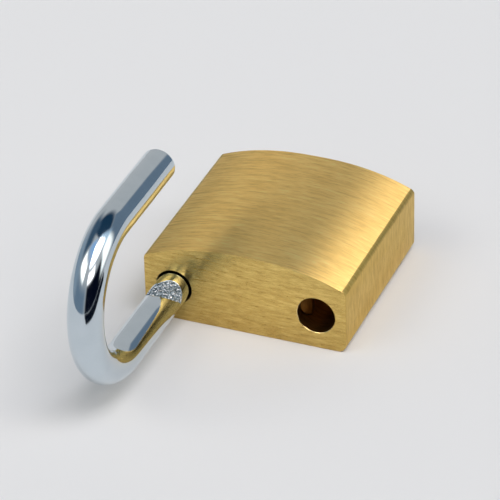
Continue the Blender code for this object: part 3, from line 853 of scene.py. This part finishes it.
# Azimuth 0 is the -Y side and 90 is +X. Each panel holds its middle azimuth and half width, its
# middle elevation and half height, the softness of its edge in degrees, and its colour.
PANELS = [
    (180.0, 75.0, 70.0, 22.0, 7.0, (0.012, 0.045, 0.09)),
    (-105.0, 30.0, 46.0, 20.0, 10.0, (0.06, 0.11, 0.17)),
    (-85.0, 30.0, 14.0, 16.0, 12.0, (0.30, 0.38, 0.46)),
    (-25.0, 36.0, 8.0, 22.0, 12.0, (0.18, 0.25, 0.33)),
    (57.0, 41.0, 6.0, 27.0, 6.0, (0.002, 0.004, 0.012)),
    (139.0, 20.0, 16.0, 32.0, 4.0, (0.17, 0.23, 0.30)),
    (108.0, 13.0, 62.0, 22.0, 8.0, (0.60, 0.78, 0.95)),
    (-30.0, 40.0, 76.0, 14.0, 12.0, (0.36, 0.58, 0.90)),
    (-43.0, 24.0, 44.0, 10.0, 6.0, (3.0, 2.9, 2.7)),
    (35.0, 21.0, 40.0, 6.5, 3.0, (3.2, 2.9, 2.8)),
    (102.0, 13.0, 27.0, 17.0, 6.0, (2.0, 2.0, 1.9)),
    (55.0, 47.0, 67.0, 13.0, 5.0, (5.6, 5.5, 5.7)),
]
BACKDROP = (0.58, 0.58, 0.58)
CAMERA_BACKDROP = (0.72, 0.72, 0.73)


class Studio:
    """The world's light, as smooth panels by azimuth and elevation."""

    # The colour sockets of a Mix node, whose names it shares between its kinds of data
    MIX_SHARE = 0
    MIX_BELOW = 6
    MIX_ABOVE = 7
    MIX_RESULT = 2

    def __init__(self):
        world = bpy.data.worlds.new("studio")
        bpy.context.scene.world = world
        world.use_nodes = True
        self.tree = world.node_tree
        self.tree.nodes.clear()

    def calculate(self, operation, first, second=0.0, third=0.0):
        """A Math node's output; each value is a number or another node's output."""
        node = self.tree.nodes.new("ShaderNodeMath")
        node.operation = operation
        for index, value in enumerate((first, second, third)):
            if isinstance(value, float):
                node.inputs[index].default_value = value
            else:
                self.tree.links.new(value, node.inputs[index])
        return node.outputs[0]

    def falloff(self, distance, half, edge):
        """1 nearer than half, 0 further, and a smooth step of an edge to either side."""
        node = self.tree.nodes.new("ShaderNodeMapRange")
        node.interpolation_type = "SMOOTHSTEP"
        node.inputs["From Min"].default_value = half - edge
        node.inputs["From Max"].default_value = half + edge
        node.inputs["To Min"].default_value = 1.0
        node.inputs["To Max"].default_value = 0.0
        self.tree.links.new(distance, node.inputs["Value"])
        return node.outputs["Result"]

    def mix(self, share, below, above):
        """A share of the colour above over what is below, which is a colour or an output."""
        node = self.tree.nodes.new("ShaderNodeMix")
        node.data_type = "RGBA"
        self.tree.links.new(share, node.inputs[self.MIX_SHARE])
        if isinstance(below, tuple):
            node.inputs[self.MIX_BELOW].default_value = (*below, 1.0)
        else:
            self.tree.links.new(below, node.inputs[self.MIX_BELOW])
        node.inputs[self.MIX_ABOVE].default_value = (*above, 1.0)
        return node.outputs[self.MIX_RESULT]

    def build(self):
        """Lays the panels over the backdrop; the camera itself sees only a plain tone."""
        place = self.tree.nodes.new("ShaderNodeTexCoord")
        split = self.tree.nodes.new("ShaderNodeSeparateXYZ")
        self.tree.links.new(place.outputs["Generated"], split.inputs[0])
        x, y, z = split.outputs
        behind = self.calculate("MULTIPLY", y, -1.0)
        azimuth = self.calculate("MULTIPLY", self.calculate("ARCTAN2", x, behind), 180.0 / math.pi)
        elevation = self.calculate("MULTIPLY", self.calculate("ARCSINE", z), 180.0 / math.pi)
        colour = BACKDROP
        for middle, half_width, height, half_height, edge, tone in PANELS:
            turned = self.calculate("WRAP", self.calculate("SUBTRACT", azimuth, middle), 180.0, -180.0)
            across = self.falloff(self.calculate("ABSOLUTE", turned), half_width, edge)
            raised = self.calculate("ABSOLUTE", self.calculate("SUBTRACT", elevation, height))
            along = self.falloff(raised, half_height, min(edge, half_height))
            colour = self.mix(self.calculate("MULTIPLY", across, along), colour, tone)
        path = self.tree.nodes.new("ShaderNodeLightPath")
        colour = self.mix(path.outputs["Is Camera Ray"], colour, CAMERA_BACKDROP)
        background = self.tree.nodes.new("ShaderNodeBackground")
        self.tree.links.new(colour, background.inputs["Color"])
        output = self.tree.nodes.new("ShaderNodeOutputWorld")
        self.tree.links.new(background.outputs[0], output.inputs["Surface"])


def add_mat():
    """A dark mat in front of the padlock, which only reflections show. It is a stretch of a wide
    ring, with one row of points along its inner edge and back along its outer one."""
    centre_y = -0.03
    height = 0.0002
    points = []
    for radius, azimuths in ((0.13, range(15, 106, 15)), (2.5, range(105, 14, -15))):
        for azimuth in azimuths:
            angle = math.radians(azimuth)
            x = radius * math.sin(angle)
            points.append((x, centre_y - radius * math.cos(angle), height))
    mesh = bpy.data.meshes.new("dark_mat")
    mesh.from_pydata(points, [], [tuple(range(len(points)))])
    nodes = Nodes("dark_mat")
    nodes.shader.inputs["Base Color"].default_value = (0.002, 0.004, 0.010, 1.0)
    nodes.shader.inputs["Roughness"].default_value = 1.0
    nodes.shader.inputs["Specular IOR Level"].default_value = 0.0
    mesh.materials.append(nodes.material)
    mat = new_piece("dark_mat", mesh)
    mat.visible_camera = False
    mat.visible_diffuse = False
    mat.visible_shadow = False


def add_camera():
    """The fitted view: it looks at the origin along its azimuth and elevation, rolled, and is
    then moved sideways and up in its own plane."""
    sin_azimuth, cos_azimuth = math.sin(CAMERA_AZIMUTH), math.cos(CAMERA_AZIMUTH)
    sin_elevation, cos_elevation = math.sin(CAMERA_ELEVATION), math.cos(CAMERA_ELEVATION)
    sin_roll, cos_roll = math.sin(CAMERA_ROLL), math.cos(CAMERA_ROLL)
    back = Vector((sin_azimuth * cos_elevation, -cos_azimuth * cos_elevation, sin_elevation))
    level = Vector((cos_azimuth, sin_azimuth, 0.0))
    upright = back.cross(level)
    right = cos_roll * level + sin_roll * upright
    up = cos_roll * upright - sin_roll * level
    place = right * AIM_RIGHT + up * AIM_UP + back * CAMERA_DISTANCE
    data = bpy.data.cameras.new("camera")
    data.lens = LENS
    data.sensor_width = 36.0
    data.clip_start = 0.01
    camera = bpy.data.objects.new("camera", data)
    bpy.context.scene.collection.objects.link(camera)
    turn = Matrix((right, up, back)).transposed().to_4x4()
    camera.matrix_world = Matrix.Translation(place) @ turn
    bpy.context.scene.camera = camera


make_body()
make_flush_plugs()
make_shackle()
make_key_plug()
make_pin_stacks()
make_spring_cap()
make_springs()
finish_carried_nodes()

bpy.context.scene.view_settings.view_transform = "Standard"
add_floor()
Studio().build()
add_mat()
add_camera()
